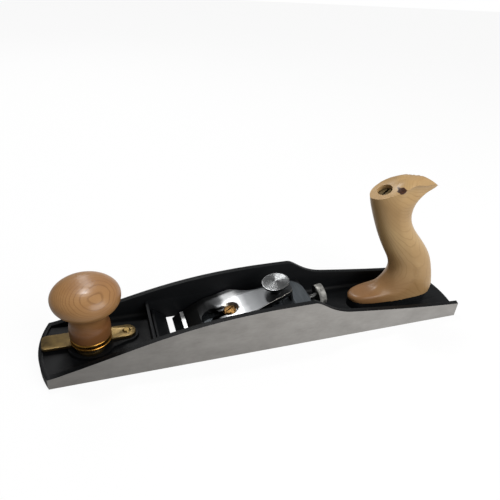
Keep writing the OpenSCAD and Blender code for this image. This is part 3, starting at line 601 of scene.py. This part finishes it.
# How round the carving meets what it leaves, at the sides and at the top
SIDE_JOIN, TOP_JOIN = 0.8, 0.5
# The first ring, a square of this size with its corners cut, the crease that keeps the foot's underside flat, and
# how many times the mesh is smoothed
FIRST_RING, CORNER_CUT = 2, 0.92
UNDERSIDE_CREASE = 0.7
SMOOTHINGS = 3


def along(points, x):
    """Value at x on a line through points."""
    for (low, first), (high, second) in zip(points, points[1:]):
        if x < high:
            return first + (second - first) * min(max((x - low) / (high - low), 0), 1)
    return points[-1][1]


def eased(share):
    """0 below 0, 1 above 1, and smooth in between."""
    share = min(max(share, 0), 1)
    return share * share * (3 - 2 * share)


def under(limit, value, radius):
    """The value where it is below the limit, and the limit elsewhere, with a round join."""
    gap = limit - value
    return limit - (gap + math.sqrt(gap * gap + radius * radius)) / 2


def crest(x):
    """Height of the top's middle, smoothed over a few millimetres."""
    return sum(along(TOTE_CREST, x + shift) for shift in (-4, -2, 0, 2, 4)) / 5


def carve_top(vertex):
    """Carves the tote's top by hand moves: the horn tapers to its tip under a crowned top with a crisp ridge,
    its sides are hollow below the ridge, and the top runs down flat to the nut."""
    x, y, z = (vertex.co - TOTE_FOOT) / MM
    side = -1 if y < 0 else 1
    half = abs(y)
    upper = eased((z - HORN_FROM) / HORN_OVER)
    half += upper * (under(along(HORN_HALF, x), half, SIDE_JOIN) - half)
    ridge = crest(x) - along(TOTE_CROWN, x) * half * half
    below = (ridge - HOLLOW_BELOW - z) / HOLLOW_SPREAD
    hollow = HOLLOW_DEPTH * math.exp(-below * below) * eased((x - HOLLOW_FROM) / HOLLOW_OVER)
    half -= hollow * eased(half / HOLLOW_MIDDLE) * upper
    lean = FLAT_SLOPE * side * half * (1 - eased((x - FLAT_TO) / FLAT_OVER))
    z = under(min(ridge + lean, TOTE_HEIGHT), z, TOP_JOIN)
    vertex.co = TOTE_FOOT + Vector((x, side * half, z)) * MM


def square_foot(vertex):
    """Squares the foot: its round ends are pushed out toward the corners, less with height."""
    x, y, z = (vertex.co - TOTE_FOOT) / MM
    if x < FOOT_ROUND:
        ahead, aside = (FOOT_ROUND - x) / FOOT_ROUND, abs(y) / FOOT_HALF
        push = math.hypot(ahead, aside) / (ahead ** FOOT_POWER + aside ** FOOT_POWER) ** (1 / FOOT_POWER)
        push = 1 + (push - 1) * (1 - eased((z - FOOT_SQUARE[0]) / FOOT_SQUARE[1]))
        vertex.co = TOTE_FOOT + Vector((FOOT_ROUND - (FOOT_ROUND - x) * push, y * push, z)) * MM
    elif x > HEEL_ROUND[0]:
        behind = min((x - HEEL_ROUND[0]) / HEEL_ROUND[1], HEEL_SQUARED)
        widen = (1 - behind ** FOOT_POWER) ** (1 / FOOT_POWER) / math.sqrt(1 - behind * behind)
        widen = 1 + (widen - 1) * (1 - eased((z - HEEL_SQUARE[0]) / HEEL_SQUARE[1]))
        vertex.co.y *= widen


def make_tote(material):
    """The rear handle: a ring is extruded up through the outlines, then smoothed, carved on top and bored."""
    bpy.ops.object.select_all(action="DESELECT")
    bpy.ops.mesh.primitive_plane_add(size=FIRST_RING * MM, location=TOTE_FOOT)
    bpy.ops.object.mode_set(mode="EDIT")
    bpy.ops.mesh.bevel(offset=CORNER_CUT * MM, affect="VERTICES", segments=3)
    bpy.ops.mesh.select_all(action="SELECT")
    centre, length, width, tilt = TOTE_FOOT.copy(), MM, MM, 0.0
    for index, (front_x, front_z, back_x, back_z, half) in enumerate(TOTE_RINGS):
        if index:
            bpy.ops.mesh.extrude_region_move()
        turn_ring(-tilt, centre)
        new_length = math.hypot(back_x - front_x, back_z - front_z) / 2 * MM
        bpy.ops.transform.resize(value=(new_length / length, half * MM / width, 1), center_override=centre)
        tilt = math.atan2(back_z - front_z, back_x - front_x)
        turn_ring(tilt, centre)
        target = TOTE_FOOT + Vector((front_x + back_x, 0, front_z + back_z)) / 2 * MM
        bpy.ops.transform.translate(value=target - centre)
        centre, length, width = target, new_length, half * MM
    bpy.ops.mesh.select_all(action="SELECT")
    bpy.ops.mesh.normals_make_consistent()
    pick(lambda point: (point - TOTE_FOOT + bpy.context.object.location).z < 0.05 * MM)
    bpy.ops.transform.edge_crease(value=UNDERSIDE_CREASE)
    bpy.ops.object.mode_set(mode="OBJECT")
    apply_modifier("SUBSURF", levels=SMOOTHINGS, render_levels=SMOOTHINGS)
    bpy.ops.object.transform_apply(location=True, rotation=True, scale=True)
    for vertex in bpy.context.object.data.vertices:
        if vertex.co.z > TOTE_FOOT.z + CARVE_FROM * MM:
            carve_top(vertex)
        else:
            square_foot(vertex)
    up = Vector((-math.sin(ROD_LEAN), 0, math.cos(ROD_LEAN)))
    rod_foot = TOTE_FOOT + Vector((ROD_FROM_FRONT * MM, 0, 0))
    piece = bpy.context.object
    bore = nut_recess(rod_foot + up * (FLAT_UP_ROD + RECESS_ABOVE) * MM, up)
    bpy.context.view_layer.objects.active = piece
    apply_modifier("BOOLEAN", operation="DIFFERENCE", object=bore, solver="EXACT")
    bpy.data.objects.remove(bore)
    bpy.ops.object.select_all(action="DESELECT")
    piece.select_set(True)
    bpy.ops.object.shade_smooth_by_angle(angle=math.radians(38))
    settle("shaped_tote", "base", material, "tote")


def turn_ring(angle, centre):
    """Turns the selected ring about Y, so that its back end rises by the angle."""
    if angle:
        bpy.ops.transform.rotate(value=angle, orient_axis="Y", center_override=centre)


def nut_recess(top, up):
    """Cutter for the nut's counterbore, along the rod, from its top end down."""
    length = RECESS_LENGTH * MM
    bpy.ops.mesh.primitive_cylinder_add(vertices=64, radius=RECESS_RADIUS * MM, depth=length,
                                        location=top - up * length / 2, rotation=(0, -ROD_LEAN, 0))
    return bpy.context.object


# Turned outline of the ferrule: a bead at its foot and a rounded shoulder, radius and height in millimetres
FERRULE_OUTLINE = [(13.9, 0.1), (14.5, 0.0), (14.85, 0.15), (15.0, 0.5), (15.0, 1.2), (14.85, 1.5), (14.55, 1.65),
                   (14.55, 1.8), (14.8, 1.95), (14.95, 2.4), (15.0, 3.4), (14.95, 4.3), (14.8, 5.0), (14.5, 5.5),
                   (14.15, 5.75), (13.9, 5.75), (13.9, 0.1)]


def make_ferrule(material):
    """The knob's brass ferrule, turned with a bead at its foot."""
    up = Vector((0, 0, MM))
    foot = Vector(((ferrule_low.x + ferrule_high.x) / 2, 0, ferrule_low.z))
    bpy.ops.object.select_all(action="DESELECT")
    radius, height = FERRULE_OUTLINE[0]
    bpy.ops.mesh.primitive_circle_add(vertices=96, radius=radius * MM, location=foot + up * height)
    bpy.ops.object.mode_set(mode="EDIT")
    bpy.ops.mesh.select_all(action="SELECT")
    for new_radius, new_height in FERRULE_OUTLINE[1:]:
        extrude_ring(up * (new_height - height), new_radius / radius, foot + up * new_height)
        radius, height = new_radius, new_height
    bpy.ops.mesh.select_all(action="SELECT")
    bpy.ops.mesh.remove_doubles(threshold=WELD)
    bpy.ops.mesh.normals_make_consistent()
    bpy.ops.object.mode_set(mode="OBJECT")
    bpy.ops.object.shade_smooth_by_angle(angle=math.radians(50))
    settle("turned_ferrule", "knob", material, "knob_ferrule")


# The adjuster's rod in millimetres: its radius, its ends from the edge, the length left for its last turn, and
# its thread
ROD_RADIUS = 2.5
ROD_FROM, ROD_TO, ROD_SPARE = 88.0, 127.6, 0.8
THREAD_PITCH = 1.25
THREAD_DEPTH = 0.6 * THREAD_PITCH
ROOT = 1 - THREAD_DEPTH / ROD_RADIUS
# One turn of the thread: size against the rod's and length against the pitch, of crest, flank, root and flank
THREAD_TURN = ((1.0, 0.128), (ROOT, 0.4), (ROOT, 0.072), (1.0, 0.4))


def make_threaded_rod(material):
    """The adjuster's rod: a stepped rod whose rings are pinched in to the roots of a coarse thread."""
    bpy.ops.object.select_all(action="DESELECT")
    start = EDGE + UP_BED * ROD_FROM * MM - OFF_BED * ROD_DROP * MM
    bpy.ops.mesh.primitive_circle_add(vertices=32, radius=ROD_RADIUS * MM, fill_type="NGON", location=start,
                                      rotation=(0, math.pi / 2 - BED_ANGLE, 0))
    bpy.ops.object.mode_set(mode="EDIT")
    bpy.ops.mesh.select_all(action="SELECT")
    reach, size = 0.0, 1.0
    while reach < ROD_TO - ROD_FROM - ROD_SPARE:
        for new_size, step in THREAD_TURN:
            reach += step * THREAD_PITCH
            extrude_ring(UP_BED * step * THREAD_PITCH * MM, new_size / size, start + UP_BED * reach * MM)
            size = new_size
    bpy.ops.mesh.select_all(action="SELECT")
    bpy.ops.mesh.normals_make_consistent()
    bpy.ops.object.mode_set(mode="OBJECT")
    bpy.ops.object.shade_smooth_by_angle(angle=math.radians(25))
    settle("threaded_rod", "adjuster", material, "adjuster_rod")


# Finishes
# The knob's darker rosy tone below 31 to 45 mm, and the tote's toward its front and foot, are partly wood colour and
# partly painted shade
knob_wood = hard_maple("turned_hard_maple", (-152.3, 26.1, -14.6), (0, math.radians(75.9), 0),
                       ("#94693f", "#a2784b", "#ae8558", "#64401f", "#572e14"), 1.25, 0.5, (31, 45), (0, 0, 1), 0.6)
tote_wood = hard_maple("shaped_hard_maple", (124, 58, 43), (0, math.radians(62), 0),
                       ("#a9875a", "#b49365", "#c0a070", "#7c5a33", "#653a1e"), 1.4, 0.36, (112, 176),
                       (1, 0, 0.9), 0.28, knot=(97.3, -12.2, 120.4))
casting = body_casting()
BRIGHT_STEEL = ("#a7a7a6", "#6f6f6e")
DULL_STEEL = ("#6a6a6a", "#4b4b4b")
threaded_steel = machined_steel("threaded_rod_steel", *BRIGHT_STEEL, 0.3)
cap_steel = cap_casting()
clamp_steel = faced_steel("faced_clamp_steel", CLAMP_CENTRE, OFF_BED, "#989999", "#6c6e6f", 0.2, 0.09)
wheel_steel = faced_steel("faced_wheel_steel", WHEEL_CENTRE, UP_BED, "#9a9995", "#72716d", 0.4)
lever_brass = brass("satin_lever_brass", "#857047", "#62533a", 0.42, (0.08, 1, 1))
screw_brass = brass("screw_brass", "#8a683b", "#4f3a20", 0.3)
turned_brass = brass("turned_brass", "#d8a350", "#b07c33", 0.27)
for node, material in (
        ("plane_body", casting), ("toe_plate", casting), ("iron", cutter_steel()), ("lever_cap", cap_steel),
        ("clamp_screw", clamp_steel), ("adjuster_wheel", wheel_steel), ("adjuster_rod", threaded_steel),
        ("adjuster_collar", machined_steel("collar_steel", *BRIGHT_STEEL, 0.35)),
        ("knob_stud", machined_steel("stud_steel", *BRIGHT_STEEL, 0.35)),
        ("tote_rod", machined_steel("tote_rod_steel", *BRIGHT_STEEL, 0.35)),
        ("knob_washer", machined_steel("washer_steel", *DULL_STEEL, 0.45)),
        ("tote_washer", machined_steel("tote_washer_steel", *DULL_STEEL, 0.45)),
        ("lever_cap_screw", screw_brass), ("knob_ferrule", turned_brass), ("knob_insert", turned_brass),
        ("lever_pivot_pin", brass("pin_brass", "#8f7747", "#6b5837", 0.4)), ("mouth_lever", lever_brass),
        # The tote nut's brass is coloured dark: painted shade of the recess it sits in
        ("tote_nut", brass("nut_brass_painted_shade", "#5d5038", "#40341f", 0.45)), ("front_knob", knob_wood),
        ("tote", tote_wood)):
    dress(node, material)

# Pieces
make_tote(tote_wood)
make_threaded_rod(threaded_steel)
eased_copy("lever_cap", "cap", cap_steel, 0.5, chamfered=on_tongue_edge)
eased_copy("mouth_lever", "lever", lever_brass, 0.35)
eased_copy("clamp_screw", "clamp", clamp_steel, 0.2)
eased_copy("adjuster_wheel", "adjuster", wheel_steel, 0.25)
make_ferrule(turned_brass)
eased_copy("lever_cap_screw", "cap_screw", screw_brass, 0.2)
eased_copy("plane_body", "base", casting, 0.35, angle=40)
